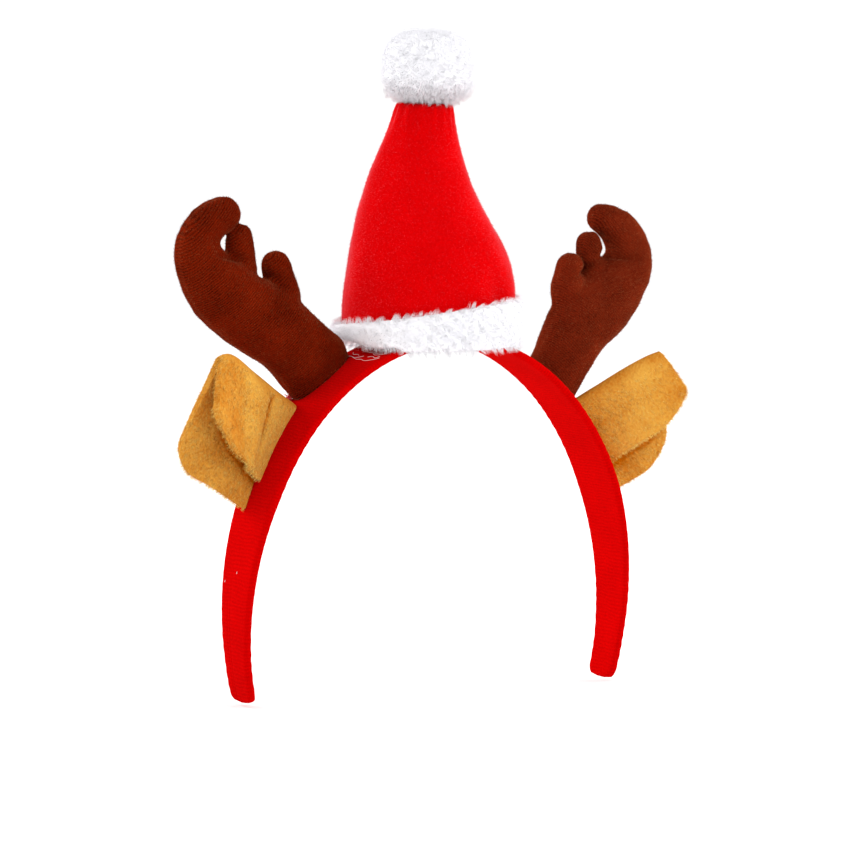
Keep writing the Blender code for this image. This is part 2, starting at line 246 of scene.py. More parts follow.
def pile_cloth(name, dark, light, grain_mm, bump_mm, sheen, tint, ribs=None, broad_mm=14.0,
               sheen_roughness=0.45, light_attribute=None):
    """A cloth with a pile, whose colour wanders between dark and light.

    ribs is (direction, pitch in mm, depth) of a line pattern. The direction is a vector, or
    "length_mm" for a length that the mesh carries. light_attribute names a lightness that the
    mesh carries.
    """
    material = bpy.data.materials.new(name)
    material.use_nodes = True
    shader = material.node_tree.nodes["Principled BSDF"]
    shader.inputs["Roughness"].default_value = PILE_ROUGHNESS
    shader.inputs["Specular IOR Level"].default_value = 0.0
    shader.inputs["Sheen Weight"].default_value = sheen
    shader.inputs["Sheen Roughness"].default_value = sheen_roughness
    shader.inputs["Sheen Tint"].default_value = (*tint, 1.0)
    coordinates = material.node_tree.nodes.new("ShaderNodeTexCoord")
    fine = grain(material, coordinates, grain_mm)
    broad = grain(material, coordinates, broad_mm, detail=3.0)
    share = maths(material, "ADD", maths(material, "MULTIPLY", fine, FINE_SHARE),
                  maths(material, "MULTIPLY", broad, BROAD_SHARE))
    height = fine
    if ribs:
        direction, pitch_mm, depth = ribs
        if direction == "length_mm":
            along = material.node_tree.nodes.new("ShaderNodeAttribute")
            along.attribute_name = direction
            place = maths(material, "MULTIPLY", along.outputs["Fac"], MM)
        else:
            along = material.node_tree.nodes.new("ShaderNodeVectorMath")
            along.operation = "DOT_PRODUCT"
            wire(material, coordinates, "Object", along, 0)
            along.inputs[1].default_value = direction
            place = along.outputs["Value"]
        swerve = maths(material, "MULTIPLY", grain(material, coordinates, SWERVE_MM),
                       1.6 * pitch_mm * MM)
        place = maths(material, "ADD", place, swerve)
        turns = maths(material, "MULTIPLY", place, math.tau / (pitch_mm * MM))
        wave = maths(material, "SINE", turns)
        patches = grain(material, coordinates, 1.5 * pitch_mm)
        worn = maths(material, "MULTIPLY", patches, 2.0 * depth)
        lines = maths(material, "MULTIPLY", wave, worn)
        share = maths(material, "ADD", share, lines)
        height = maths(material, "ADD", height, lines)
    if light_attribute:
        nap = material.node_tree.nodes.new("ShaderNodeAttribute")
        nap.attribute_name = light_attribute
        share = maths(material, "ADD", share, nap.outputs["Fac"])
    colour = material.node_tree.nodes.new("ShaderNodeValToRGB")
    colour.color_ramp.elements[0].position = RAMP_START
    colour.color_ramp.elements[0].color = (*dark, 1.0)
    colour.color_ramp.elements[1].position = RAMP_END
    colour.color_ramp.elements[1].color = (*light, 1.0)
    material.node_tree.links.new(share, colour.inputs["Fac"])
    wire(material, colour, "Color", shader, "Base Color")
    bump = part_of(material, "ShaderNodeBump", Strength=0.7, Distance=bump_mm * MM)
    material.node_tree.links.new(height, bump.inputs["Height"])
    wire(material, bump, "Normal", shader, "Normal")
    return material


# %% Cloth colours
red_velour = pile_cloth("red velour", (0.47, 0.0003, 0.0007), (0.72, 0.0006, 0.0016),
                        grain_mm=0.7, bump_mm=0.25, sheen=0.8, tint=(1.0, 0.34, 0.40),
                        sheen_roughness=0.25)
red_ribbed = pile_cloth("red ribbed cloth", (0.38, 0.0002, 0.0003), (0.60, 0.0004, 0.0005),
                        grain_mm=0.6, bump_mm=0.2, sheen=0.03, tint=(1.0, 0.2, 0.18),
                        ribs=("length_mm", 1.1, 0.10))
# The antlers' ribs run at 45 degrees
SLANT = math.sqrt(0.5)
# The two antlers are one cloth in two copies: the right one's is painted lighter and the left one's
# darker, for the light that falls more on the right. Their ribs slant opposite ways.
brown_shaded_left = pile_cloth("brown velour left painted shade", (0.008, 0.0005, 0.0002), (0.222, 0.014, 0.002),
                        grain_mm=0.45, bump_mm=0.3, sheen=0.15, tint=(1.0, 0.42, 0.22),
                        ribs=((SLANT, 0.0, -SLANT), 0.80, 0.11), sheen_roughness=0.25)
brown_lit_right = pile_cloth("brown velour right painted light", (0.014, 0.001, 0.0004), (0.232, 0.023, 0.006),
                         grain_mm=0.45, bump_mm=0.3, sheen=0.15, tint=(1.0, 0.42, 0.22),
                         ribs=((SLANT, 0.0, SLANT), 0.80, 0.09), sheen_roughness=0.25)
brown_nap = pile_cloth("brown nap", (0.09, 0.012, 0.003), (0.46, 0.13, 0.05),
                       grain_mm=0.4, bump_mm=0.1, sheen=0.05, tint=(1.0, 0.42, 0.22),
                       light_attribute="nap")
tan_plush = pile_cloth("tan plush", (0.49, 0.120, 0.0002), (0.71, 0.36, 0.055),
                       grain_mm=0.9, bump_mm=0.5, sheen=0.05, tint=(1.0, 0.75, 0.4),
                       light_attribute="nap")
tan_nap = pile_cloth("tan nap", (0.56, 0.180, 0.0003), (0.98, 0.73, 0.20),
                     grain_mm=0.7, bump_mm=0.1, sheen=0.05, tint=(1.0, 0.75, 0.4),
                     light_attribute="nap")
red_nap = pile_cloth("red nap", (0.62, 0.006, 0.009), (0.95, 0.12, 0.145),
                     grain_mm=0.6, bump_mm=0.1, sheen=0.0, tint=(1.0, 0.3, 0.3),
                     light_attribute="nap")
white_fur = pile_cloth("white fur", (0.935, 0.93, 0.965), (0.975, 0.97, 0.99),
                       grain_mm=1.6, bump_mm=0.1, sheen=0.1, tint=(1.0, 1.0, 1.0))
print("materials:", ", ".join(sorted(m.name for m in bpy.data.materials if m.use_nodes)))

# %% [markdown]
# ## Hairs
#
# Fur is thousands of nearly equal hairs. One hair is modelled once, as a three-sided cone with a
# thicker waist where it can bend, and numpy then repeats it: each copy gets a root on the skin, a
# direction, a length and a lean. Hairs of real fur gather in locks, so each hair leans towards the
# tip of its own lock. Every draw comes from one generator with a fixed seed, so each run is equal.

# %% One hair and many
draw = np.random.default_rng(20)
# How much thicker a hair is at its waist than at its root
WAIST = 1.25
# A lean grows with the height on the hair, to this power
LEAN_POWER = 1.6


def one_hair(bends):
    """A slender three-sided cone of length 1, with rings where it can bend."""
    form = bmesh.new()
    bmesh.ops.create_cone(form, cap_ends=True, cap_tris=False, segments=3, radius1=1.0,
                          radius2=0.0, depth=1.0)
    bmesh.ops.translate(form, vec=(0.0, 0.0, 0.5), verts=form.verts)
    bmesh.ops.remove_doubles(form, verts=form.verts, dist=0.001)
    for level in range(1, bends + 1):
        height = level / (bends + 1)
        geometry = form.verts[:] + form.edges[:] + form.faces[:]
        bmesh.ops.bisect_plane(form, geom=geometry, plane_co=(0, 0, height), plane_no=(0, 0, 1))
    for vertex in form.verts:
        if 0.001 < vertex.co.z < 0.999:
            vertex.co.x *= WAIST
            vertex.co.y *= WAIST
    bmesh.ops.triangulate(form, faces=form.faces)
    bmesh.ops.recalc_face_normals(form, faces=form.faces)
    form.verts.index_update()
    points = np.array([vertex.co for vertex in form.verts])
    corners = np.array([[vertex.index for vertex in face.verts] for face in form.faces])
    form.free()
    return points, corners


def spread_roots(mesh, count, draw):
    """Points spread over a mesh by area, with the skin's normal and its nap and painted shade at
    each.
    """
    mesh.calc_loop_triangles()
    corners = np.empty(len(mesh.loop_triangles) * 3, np.int32)
    mesh.loop_triangles.foreach_get("vertices", corners)
    corners = corners.reshape(-1, 3)
    points, normals = points_of(mesh), normals_of(mesh)
    a, b, c = (points[corners[:, k]] for k in range(3))
    area = np.linalg.norm(np.cross(b - a, c - a), axis=1)
    chosen = draw.choice(len(corners), size=count, p=area / area.sum())
    first, second = draw.random(count), draw.random(count)
    over = first + second > 1.0
    first[over], second[over] = 1.0 - first[over], 1.0 - second[over]
    weights = np.stack([1.0 - first - second, first, second], axis=1)[:, :, None]
    trio = corners[chosen]
    roots = (points[trio] * weights).sum(axis=1)
    outward = (normals[trio] * weights).sum(axis=1)
    nap = np.zeros(len(points), np.float32)
    if "nap" in mesh.attributes:
        mesh.attributes["nap"].data.foreach_get("value", nap)
    nap = (nap[trio] * weights[:, :, 0]).sum(axis=1)
    return roots, outward / np.linalg.norm(outward, axis=1)[:, None], nap


def grow(name, roots, outward, lengths, width_mm, comb, draw, bends=1, locks=0, gather=0.6,
         stray=0.25, nap=None, mottle=0.12):
    """A mesh of hairs.

    comb is added to each outward direction and stray is its random part. locks is how many tufts
    there are, and gather how far a hair leans to its own. nap is a lightness for each hair, with
    any painted shade of its root, which mottle varies.
    """
    points, corners = one_hair(bends)
    count = len(roots)
    direction = outward + comb + draw.normal(0.0, stray, (count, 3))
    direction /= np.linalg.norm(direction, axis=1)[:, None]
    tips = roots + direction * lengths[:, None]
    lean = np.zeros((count, 3))
    if locks:
        leaders = draw.choice(count, size=locks, replace=False)
        nearest = np.empty(count, int)
        for start in range(0, count, 2000):
            part = roots[start:start + 2000]
            apart = np.linalg.norm(part[:, None] - roots[leaders][None], axis=2)
            nearest[start:start + 2000] = leaders[apart.argmin(axis=1)]
        lean = (tips[nearest] - tips) * np.broadcast_to(gather, count)[:, None]
    side = np.cross(direction, draw.normal(0.0, 1.0, (count, 3)))
    side /= np.linalg.norm(side, axis=1)[:, None]
    other = np.cross(direction, side)
    radius = 0.5 * width_mm * MM * draw.uniform(0.7, 1.3, count)
    x, y, z = points.T
    made = roots[:, None] + direction[:, None] * (z[None] * lengths[:, None])[:, :, None]
    made += side[:, None] * (x[None] * radius[:, None])[:, :, None]
    made += other[:, None] * (y[None] * radius[:, None])[:, :, None]
    made += lean[:, None] * (z[None] ** LEAN_POWER)[:, :, None]
    faces = corners[None] + (np.arange(count) * len(points))[:, None, None]
    mesh = bpy.data.meshes.new(name)
    mesh.vertices.add(count * len(points))
    mesh.loops.add(count * corners.size)
    mesh.polygons.add(count * len(corners))
    mesh.vertices.foreach_set("co", made.astype(np.float32).ravel())
    mesh.loops.foreach_set("vertex_index", faces.astype(np.int32).ravel())
    mesh.polygons.foreach_set("loop_start", np.arange(0, count * corners.size, 3, dtype=np.int32))
    mesh.update(calc_edges=True)
    if nap is not None:
        shade = np.repeat(nap + draw.normal(0.0, mottle, count), len(points))
        mesh.attributes.new("nap", "FLOAT", "POINT").data.foreach_set(
            "value", shade.astype(np.float32))
    print(f"{name}: {count} hairs, {count * len(corners)} triangles")
    return mesh


def short_nap(piece, count, length_mm, width_mm, comb, material, slot, draw, **settings):
    """A second piece on a cloth piece: its short hairs, which blur the outline as a pile does."""
    roots, outward, nap = spread_roots(piece.data, count, draw)
    lengths = draw.uniform(0.6, 1.0, count) * length_mm * MM
    name = piece.name.rsplit("_", 1)[0] + "_nap"
    mesh = grow(name, roots - outward * 0.1 * MM, outward, lengths, width_mm, np.array(comb), draw,
                bends=0, nap=nap, **settings)
    return new_piece(name, mesh, material)


# %% [markdown]
# ## The band
#
# A hair band of this kind is a springy strip with cloth pulled round it. Seen from the front it
# is part of an ellipse. A flat grid is rolled round the strip's section and carried along the
# arch, which gives even faces to work on. The cloth is gathered over the edges, so they pucker
# every 3.6 mm, and two faint lines run up from each tip where the cloth is folded inside.

# %% Measures of the band
BAND_HALF_BREADTH = 80.6 * MM
BAND_RISE = 97.3 * MM
BAND_THICKNESS = 2.7 * MM
BAND_END = math.radians(107.9)
# Depth below the top and width of the strip there, in millimetres
BAND_DEPTHS = np.array((0.0, 30.0, 56.0, 80.0, 100.0, 112.0, 128.0)) * MM
BAND_WIDTHS = np.array((26.0, 24.6, 23.4, 19.4, 16.2, 14.2, 12.8)) * MM
TIP_LENGTH = 4.2 * MM
TIP_SQUARENESS = 3.2
EDGE_RADIUS = 0.95 * MM
STEPS_ALONG = 520
STEPS_AROUND = 68
PUCKER_PITCH = 3.6


def on_band(angle, across, lift):
    """Points at an angle along the arch, across it, lifted outwards from its middle surface."""
    normal = np.stack([np.sin(angle) / BAND_HALF_BREADTH, np.cos(angle) / BAND_RISE])
    normal /= np.linalg.norm(normal, axis=0)
    x = BAND_HALF_BREADTH * np.sin(angle) + lift * normal[0]
    z = BAND_RISE * (np.cos(angle) - 1.0) + BAND_THICKNESS / 2 + lift * normal[1]
    return np.stack([x, across, z], axis=1)


def band_half_width(angle):
    depth = BAND_RISE * (1.0 - np.cos(angle))
    left = (BAND_END - np.abs(angle)) * BAND_HALF_BREADTH
    share = np.clip(1.0 - left / TIP_LENGTH, 0.0, 0.999)
    rounding = (1.0 - share ** TIP_SQUARENESS) ** (1 / TIP_SQUARENESS)
    return np.interp(depth, BAND_DEPTHS, BAND_WIDTHS) / 2 * rounding


def strip_section(around):
    """Across share from -1 to 1, edge offsets and side for a place round the strip's section.

    The outer face takes the first 0.42 of the way, an edge 0.08, and then the same inside.
    """
    half = np.floor(around * 2.0)
    place = around * 2.0 - half
    sign = 1.0 - 2.0 * half
    flat = np.clip(place / 0.84, 0.0, 1.0) * 2.0 - 1.0
    bend = np.clip((place - 0.84) / 0.16, 0.0, 1.0) * math.pi
    rise = np.cos(bend)
    return flat * sign, np.sin(bend) ** 0.7 * sign, np.sign(rise) * np.abs(rise) ** 0.7 * sign


# %% Make the band
def make_band():
    form = bmesh.new()
    bmesh.ops.create_grid(form, x_segments=STEPS_ALONG, y_segments=STEPS_AROUND, size=1.0)
    mesh = to_mesh(form, "headband_cloth")
    along, around, _ = points_of(mesh).T
    # The grid's lines stand a little closer together near the tips
    angle = (along * 0.88 + np.sin(along * math.pi / 2) * 0.12) * BAND_END
    across, reach, rise = strip_section(np.mod((around + 1.0) / 2, 1.0))
    arc = angle * BAND_HALF_BREADTH / MM
    edge = blend_between(0.55, 1.0, np.abs(across))
    drift = wander(np.stack([arc, np.sign(across) * 30.0, 0.0 * arc], axis=1), 0.12, 3)
    pucker = np.sin(arc * math.tau / PUCKER_PITCH + 3.0 * drift) + 0.9 * drift
    depth = 0.03 + 0.05 * blend_between(-0.2, 0.5, np.sin(arc * 0.09 + 2.0))
    half = band_half_width(angle)
    ends = np.clip(half / (3.0 * MM), 0.15, 1.0)
    width = across * (half - EDGE_RADIUS * ends)
    legs = blend_between(0.7, 1.1, np.abs(angle))
    width += reach * (EDGE_RADIUS + (0.30 + 0.55 * legs + 0.5 * depth * pucker) * MM) * ends
    lift = rise * (BAND_THICKNESS / 2 + depth * MM * pucker * edge)
    lift += 0.15 * MM * (rise > 0) * (1.0 - across ** 2)
    # The two faint lines that run up from each tip
    low = blend_between(1.30, 1.60, np.abs(angle)) * (rise > 0.9)
    lift -= 0.28 * MM * low * (bump_at(across - 0.30, 0.05) + 0.7 * bump_at(across - 0.52, 0.06))
    move_points(mesh, on_band(angle, width, lift * ends ** 0.4))
    layer = mesh.attributes.new("length_mm", "FLOAT", "POINT")
    layer.data.foreach_set("value", (arc + 0.25 * drift).astype(np.float32))
    form = bmesh.new()
    form.from_mesh(mesh)
    bmesh.ops.remove_doubles(form, verts=form.verts, dist=0.00002)
    bmesh.ops.holes_fill(form, edges=form.edges, sides=0)
    bmesh.ops.recalc_face_normals(form, faces=form.faces[:])
    form.to_mesh(mesh)
    form.free()
    return mesh


band = new_piece("headband_cloth", make_band(), red_ribbed, "headband")
print(f"headband_cloth: {len(band.data.polygons)} faces")

# %% [markdown]
# ## Stuffed pieces
#
# The hat and the antlers are sewn cloth filled with loose fibre. Each starts as a copy of its
# solid, which is welded and remeshed so that its points lie evenly, and smoothed until no facet
# is left. A cloth simulation with pressure inside then swells it, as stuffing does. Creases,
# seams and slight unevenness are pressed in afterwards.

# %% Even copy of a solid
def even_copy(node, voxel_mm, smoothing):
    """A welded, remeshed and smoothed copy of a node's mesh."""
    form = bmesh.new()
    form.from_mesh(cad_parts[node].data)
    bmesh.ops.remove_doubles(form, verts=form.verts, dist=0.00001)
    mesh = to_mesh(form, node + "_copy")
    mesh = modified(mesh, "REMESH", mode="VOXEL", voxel_size=voxel_mm * MM)
    form = bmesh.new()
    form.from_mesh(mesh)
    for _ in range(smoothing):
        for factor in (0.5, -0.53):
            bmesh.ops.smooth_vert(form, verts=form.verts, factor=factor, use_axis_x=True,
                                  use_axis_y=True, use_axis_z=True)
    form.to_mesh(mesh)
    form.free()
    return mesh


# %% Stuff a piece
def above_band_mm(points):
    """Height above the band's outer face, in mm."""
    centre_z = BAND_THICKNESS / 2 - BAND_RISE
    wide, tall = BAND_HALF_BREADTH + BAND_THICKNESS / 2, BAND_RISE + BAND_THICKNESS / 2
    reach = np.hypot(points[:, 0] / wide, (points[:, 2] - centre_z) / tall)
    return (reach - 1.0) * np.hypot(points[:, 0], points[:, 2] - centre_z) / reach / MM


# The simulation works on a larger copy, because Blender's cloth is made for things of a metre
STUFFING_SCALE = 10.0
CLOTH_QUALITY = 5
CLOTH_MASS = 0.3
CLOTH_STIFFNESS = {"tension_stiffness": 12.0, "compression_stiffness": 12.0,
                   "shear_stiffness": 5.0, "bending_stiffness": 0.4}


def stuffed(mesh, pressure, cap_mm, frames, hold):
    """Swell a closed mesh by cloth simulation, by cap_mm at most.

    hold is 0 where it stays and 1 where it is free.
    """
    start = points_of(mesh)
    bag = bpy.data.objects.new("bag", mesh.copy())
    bpy.context.scene.collection.objects.link(bag)
    move_points(bag.data, start * STUFFING_SCALE)
    cloth = bag.modifiers.new("cloth", "CLOTH")
    cloth.settings.quality = CLOTH_QUALITY
    cloth.settings.mass = CLOTH_MASS
    for name, value in CLOTH_STIFFNESS.items():
        setattr(cloth.settings, name, value)
    cloth.settings.use_pressure = True
    cloth.settings.uniform_pressure_force = pressure
    cloth.settings.effector_weights.gravity = 0.0
    cloth.collision_settings.use_collision = False
    for number in range(1, frames + 1):
        bpy.context.scene.frame_set(number)
    shown = bag.evaluated_get(bpy.context.evaluated_depsgraph_get())
    moved = points_of(shown.data) / STUFFING_SCALE - start
    bpy.data.objects.remove(bag)
    bpy.context.scene.frame_set(1)
    reach = np.linalg.norm(moved, axis=1)
    cap = np.minimum(1.0, cap_mm * MM / np.maximum(reach, 1e-9))
    move_points(mesh, start + moved * (cap * hold)[:, None])
    print(f"{mesh.name}: swelled by {reach.mean() / MM:.2f} mm, {(cap < 1).mean():.0%} capped")
    return mesh


# %% Make the hat
HAT_FOOT = (-0.5 * MM, 7.2 * MM)
# The dent beside the hat's foot and the fold next to it: depth in mm, width and place in radians
HAT_CREASE = math.radians(-65.0)
HAT_DENT = (-1.7, 0.20)
HAT_BULGE = (1.0, 0.25, 0.48)
HAT_GATHERS = 17
HAT_SEAM_AT = 1.2


def make_hat():
    mesh = even_copy("hat_cone", voxel_mm=1.2, smoothing=8)
    # The foot stays where it is sewn on
    free = blend_between(8.0, 20.0, points_of(mesh)[:, 2] / MM)
    mesh = stuffed(mesh, pressure=2.5, cap_mm=0.6, frames=10, hold=free)
    points, normals = points_of(mesh), normals_of(mesh)
    turn_about = np.arctan2(points[:, 1] - HAT_FOOT[1], points[:, 0] - HAT_FOOT[0])
    height = points[:, 2] / MM
    from_crease = np.remainder(turn_about - HAT_CREASE + math.pi, math.tau) - math.pi
    low = 1.0 - blend_between(14.0, 30.0, height)
    dent = HAT_DENT[0] * bump_at(from_crease + 0.004 * (height - 14.0), HAT_DENT[1]) * low
    bulge = HAT_BULGE[0] * bump_at(from_crease - HAT_BULGE[2], HAT_BULGE[1]) * low
    # Gathers where the hat is tied under the pom-pom
    top = blend_between(70.0, 84.0, height)
    gathers = 0.45 * np.sin(turn_about * HAT_GATHERS + 2.0 * wander(points, 60.0, 4)) * top
    soft = 0.5 * wander(points, 45.0, 1) + 0.25 * wander(points, 110.0, 2)
    from_seam = np.remainder(turn_about - HAT_SEAM_AT + math.pi, math.tau) - math.pi
    back_seam = -0.7 * bump_at(from_seam, 0.03)
    fuller_left = 0.55 * np.clip(-normals[:, 0], 0.0, 1.0)
    away = dent + bulge + gathers + soft + back_seam + fuller_left
    away = away * blend_between(1.0, 5.0, height)
    # Under the fur, the foot is tucked in at the left and fills the ring of fur at the front
    lift = above_band_mm(points)
    at_left = 1.0 - blend_between(-24.0, -14.0, points[:, 0] / MM)
    tucked = 1.0 - blend_between(1.0 + 1.5 * at_left, 5.0 + 2.5 * at_left, lift)
    away -= 3.6 * at_left * tucked * (normals[:, 2] < 0.5)
    at_front = 1.0 - blend_between(-14.0, -6.0, points[:, 1] / MM)
    away += 1.5 * at_front * (1.0 - blend_between(7.0, 11.0, lift)) * (1.0 - at_left)
    move_points(mesh, points + normals * away[:, None] * MM)
    return mesh


hat = new_piece("hat_stuffed", make_hat(), red_velour, "hat_cone")
print(f"hat_stuffed: {len(hat.data.polygons)} faces")
short_nap(hat, 46000, length_mm=0.9, width_mm=0.08, comb=(0.0, 0.0, -0.3), material=red_nap,
          slot="hat_cone", draw=draw, stray=0.35, mottle=0.05)

# %% Make the antlers
# Creases of the front face: first end (x, z), second end (x, z), depth and width, all in mm
CREASES = {
    "antler_left": (
        ((-87.0, 29.8), (-73.0, 27.6), 1.6, 1.3),
        ((-70.0, 23.2), (-60.0, 21.6), 1.2, 1.2),
    ),
    "antler_right": (
        ((77.0, 31.0), (92.0, 29.2), 1.8, 1.2),
        ((64.0, 21.6), (79.0, 29.2), 2.0, 1.2),
    ),
}


def crease_depth(points, creases):
    """How deep the creases press in at each point, in mm."""
    flat = points[:, (0, 2)] / MM
    depth = np.zeros(len(points))
    for start, end, deep, wide in creases:
        start, end = np.array(start), np.array(end)
        along = np.clip((flat - start) @ (end - start) / ((end - start) @ (end - start)), 0.0, 1.0)
        apart = np.linalg.norm(flat - start - along[:, None] * (end - start), axis=1)
        ends = 0.35 + 0.65 * np.sin(math.pi * along) ** 0.5
        depth += deep * ends * bump_at(apart, wide)
    return depth


# Foot's middle (x, z), then how much wider its inner and outer half grow
FEET = {
    "antler_left": ((-50.0, -10.5), 0.05, 0.30),
    "antler_right": ((50.0, -10.5), 0.18, 0.18),
}
FOOT_SLOPE = math.radians(38.0)
# The hole under the left antler's hook: its middle (x, z), how wide it is kept free, its shift, mm
HOLE_LEFT = (-86.3, 33.5)
HOLE_LEFT_SPREAD = 5.0
SHIFT_LEFT_HOLE = 1.1
SEAM_DEPTH = 0.4


def spread_foot(node, points):
    """Widen the foot along the band, so that it meets the band as a sewn edge does."""
    (x, z), inner, outer = FEET[node]
    tangent = np.array((math.cos(FOOT_SLOPE), 0.0, -math.sin(FOOT_SLOPE)))
    tangent[2] *= math.copysign(1.0, x)
    place = (points / MM - (x, 0.0, z)) @ tangent
    grows = np.where(place * math.copysign(1.0, x) > 0, outer, inner)
    height = above_band_mm(points)
    share = (1.0 - blend_between(0.0, 17.0, height)) * grows * place
    down = 1.3 * (1.0 - blend_between(0.0, 4.0, height)) * (height > 0.6)
    from_centre = points - (0.0, 0.0, BAND_THICKNESS / 2 - BAND_RISE)
    from_centre[:, 1] = 0.0
    from_centre /= np.linalg.norm(from_centre, axis=1)[:, None]
    return points + (share[:, None] * tangent - down[:, None] * from_centre) * MM


def make_antler(node):
    mesh = even_copy(node, voxel_mm=1.0, smoothing=8)
    points = points_of(mesh)
    free = blend_between(1.0, 6.0, above_band_mm(points))
    open_hole = np.zeros(len(points))
    if node == "antler_left":
        from_hole = np.linalg.norm(points[:, (0, 2)] / MM - HOLE_LEFT, axis=1)
        open_hole = bump_at(from_hole, HOLE_LEFT_SPREAD)
    free_cloth = free * (1.0 - 0.8 * open_hole)
    mesh = stuffed(mesh, pressure=12.0, cap_mm=1.4, frames=14, hold=free_cloth)
    points, normals = points_of(mesh), normals_of(mesh)
    soft = 0.35 * wander(points, 90.0, 5) + 0.2 * wander(points, 220.0, 6)
    soft += 0.5 * free * (1.0 - 1.4 * open_hole)
    soft -= crease_depth(points, CREASES[node]) * (normals[:, 1] < 0.2)
    soft -= SEAM_DEPTH * bump_at(normals[:, 1], 0.14) * free
    points = points + normals * soft[:, None] * MM
    points[:, 0] -= SHIFT_LEFT_HOLE * open_hole * MM
    # Slight shifts bring each outline to the photo's
    x, z = points[:, 0] / MM, points[:, 2] / MM
    if node == "antler_left":
        points[:, 0] += 0.036 * (x + 74.0) * blend_between(-10.0, 15.0, z) * MM
        points[:, 2] += 0.8 * blend_between(15.0, 45.0, z) * MM
    else:
        inner = 1.0 - blend_between(60.0, 72.0, x + 0.6 * (z - 20.0))
        points[:, 0] -= 0.9 * inner * blend_between(-8.0, 4.0, z) * MM
        points[:, 0] += 0.6 * (1.0 - inner) * (1.0 - blend_between(5.0, 20.0, z)) * MM
        points[:, 2] += 0.4 * blend_between(15.0, 45.0, z) * MM
    move_points(mesh, spread_foot(node, points))
    return mesh


antlers = {}
for node, material in (("antler_left", brown_shaded_left), ("antler_right", brown_lit_right)):
    antlers[node] = new_piece(node + "_stuffed", make_antler(node), material, node)
    print(f"{node}: {len(antlers[node].data.polygons)} faces")
    side = -1.0 if node == "antler_left" else 1.0
    short_nap(antlers[node], 16000, length_mm=0.9, width_mm=0.09, comb=(0.4 * side, 0.0, 0.5),
              material=brown_nap, slot=node, draw=draw, stray=0.4)

# %% [markdown]
# ## The ears
#
# Each ear is one piece of plush, folded over its top edge. It is a sheet, so it starts as a flat
# grid whose points are carried onto the fold, and Solidify gives it its thickness. A relief
# function for each ear says where its cloth stands out or is pressed in, and how light its nap
# is there. That lightness also carries painted shade under the front flap's edge and, on the
# left ear, along its crease, with painted light on its back flap. The hairs take it from their
# roots.

# %% Make the ears
EAR_THICKNESS = 2.4 * MM
EAR_FOLD_RADIUS = 1.9 * MM
# Stations from the band outwards: the fold's ridge, the front free edge, the back free edge, mm
EAR_LEFT = (
    ((49.0, 10.6, -27.4), (66.5, 2.8, -52.0), (71.5, 4.6, -61.0)),
    ((60.5, 6.0, -20.8), (75.4, 0.6, -45.6), (79.0, 5.0, -56.6)),
    ((76.6, 1.0, -11.4), (82.0, -4.6, -40.6), (88.5, 5.4, -50.8)),
    ((87.6, -3.6, -5.0), (90.5, -9.8, -33.4), (98.6, 5.2, -45.2)),
    ((93.2, -6.0, -5.2), (98.4, -14.6, -23.0), (103.8, 4.2, -36.4)),
)
EAR_RIGHT = (
    ((53.0, 10.0, -31.4), (67.0, 3.0, -56.6), (70.5, 5.6, -64.0)),
    ((66.3, 6.8, -23.0), (79.0, 1.2, -45.2), (82.0, 5.8, -57.4)),
    ((80.0, 1.6, -14.2), (87.0, -4.6, -38.0), (91.0, 5.8, -53.2)),
    ((89.2, -3.6, -7.6), (94.8, -10.8, -30.8), (99.4, 5.8, -48.4)),
    ((94.4, -7.0, -5.0), (101.6, -15.2, -18.6), (106.8, 5.6, -38.4)),
)
EAR_ALONG = 60
EAR_ACROSS = 84
# Shares of the way across at which the front flap ends and the back flap starts
FRONT_SHARE = 0.44
BACK_SHARE = 0.56
EAR_GAP = 0.35 * MM
EAR_BEVEL = 0.8 * MM


def between_stations(rows, share):
    """Ridge, front edge and back edge at a share of the ear's length, on a smooth curve."""
    place = min(share * (len(rows) - 1), len(rows) - 1 - 1e-6)
    index = int(place)
    t = place - index
    corner = [np.array(rows[min(max(index + k, 0), len(rows) - 1)]) * MM for k in (-1, 0, 1, 2)]
    before, start, end, after = corner
    bend = (2 * before - 5 * start + 4 * end - after) * t ** 2
    bend += (3 * start - before - 3 * end + after) * t ** 3
    return start + 0.5 * ((end - before) * t + bend)


def ear_point(rows, along, across):
    """A point of the folded sheet. across runs from the front free edge to the back one."""
    ridge, front, back = (Vector(v) for v in between_stations(rows, along))
    down = ((front - ridge).normalized() + (back - ridge).normalized()).normalized()
    backward = Vector((0.0, 1.0, 0.0))
    backward = (backward - down * backward.dot(down)).normalized()
    centre = ridge + down * EAR_FOLD_RADIUS
    if across < FRONT_SHARE:
        return front.lerp(centre - backward * EAR_FOLD_RADIUS, across / FRONT_SHARE)
    if across > BACK_SHARE:
        share = (across - BACK_SHARE) / (1.0 - BACK_SHARE)
        return (centre + backward * EAR_FOLD_RADIUS).lerp(back, share)
    angle = math.pi * (across - FRONT_SHARE) / (BACK_SHARE - FRONT_SHARE)
    return centre + (-backward * math.cos(angle) - down * math.sin(angle)) * EAR_FOLD_RADIUS


def above_band(point, gap):
    """Positive where a point lies outside the band's outer face by more than the gap."""
    reach = BAND_THICKNESS / 2 + gap
    centre_z = BAND_THICKNESS / 2 - BAND_RISE
    share_x = point.x / (BAND_HALF_BREADTH + reach)
    share_z = (point.z - centre_z) / (BAND_RISE + reach)
    return share_x ** 2 + share_z ** 2 - 1.0


def start_on_band(rows, across):
    """The share of the ear's length at which it leaves the band."""
    low, high = 0.0, 0.5
    for _ in range(24):
        guess = (low + high) / 2
        if above_band(ear_point(rows, guess, across), EAR_GAP) > 0:
            high = guess
        else:
            low = guess
    return high


def rounded_end(across):
    """How far out the ear reaches: all the way, but less at its two corners and at the fold."""
    corner = min(across, 1.0 - across)
    short = 1.0 - math.sqrt(1.0 - max(0.0, 1.0 - corner / 0.07) ** 2)
    return 1.0 - 0.11 * short - 0.035 * math.exp(-((across - 0.5) / 0.05) ** 2)


